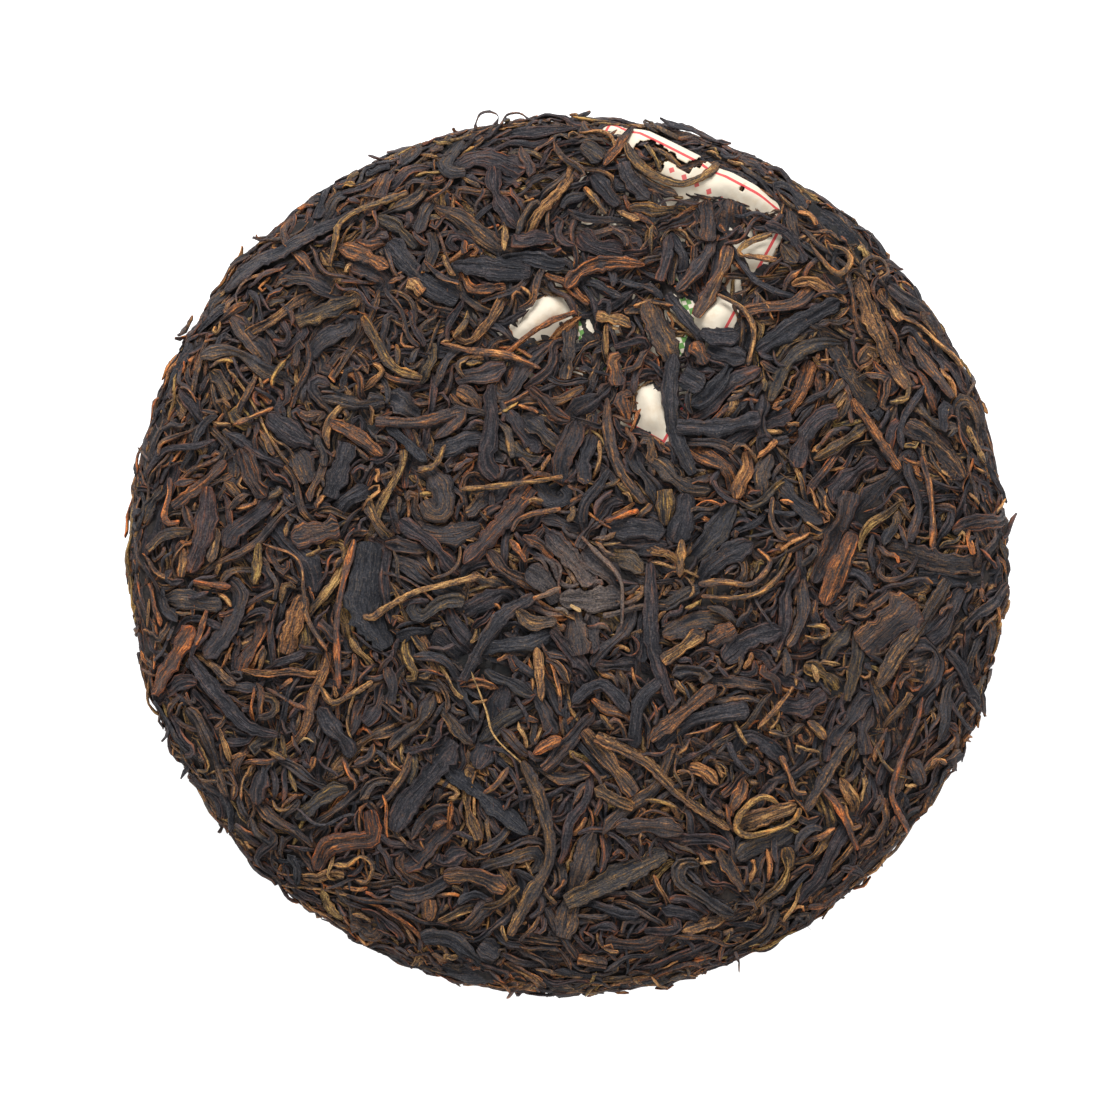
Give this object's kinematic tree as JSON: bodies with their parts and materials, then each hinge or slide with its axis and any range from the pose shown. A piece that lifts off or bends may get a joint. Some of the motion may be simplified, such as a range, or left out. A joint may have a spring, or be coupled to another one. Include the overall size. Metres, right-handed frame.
{
  "type": "pressed dark tea cake",
  "caption": "Round cake of pressed dark tea leaves with a knot hollow underneath and a paper ticket pressed in under the leaves of its face.",
  "frame": {"origin": "under the middle of the cake, on the surface that it lies on", "axes": "+Z up out of the face with the ticket, +X to the right and +Y up as the face is looked at, so that the ticket is in the +X +Y part"},
  "size_m": [0.1998, 0.2, 0.0251],
  "materials": {
    "pressed_tea_leaves": "dry pressed leaves, charcoal to dark brown with orange-brown and tan buds and stems, satin to matt",
    "ticket_paper": "thin uncoated cream paper with a thin red border line, tea-stained along its torn edges"
  },
  "bodies": {
    "root": {"tea_cake": "pressed_tea_leaves", "paper_ticket": "ticket_paper"}
  },
  "joints": []
}
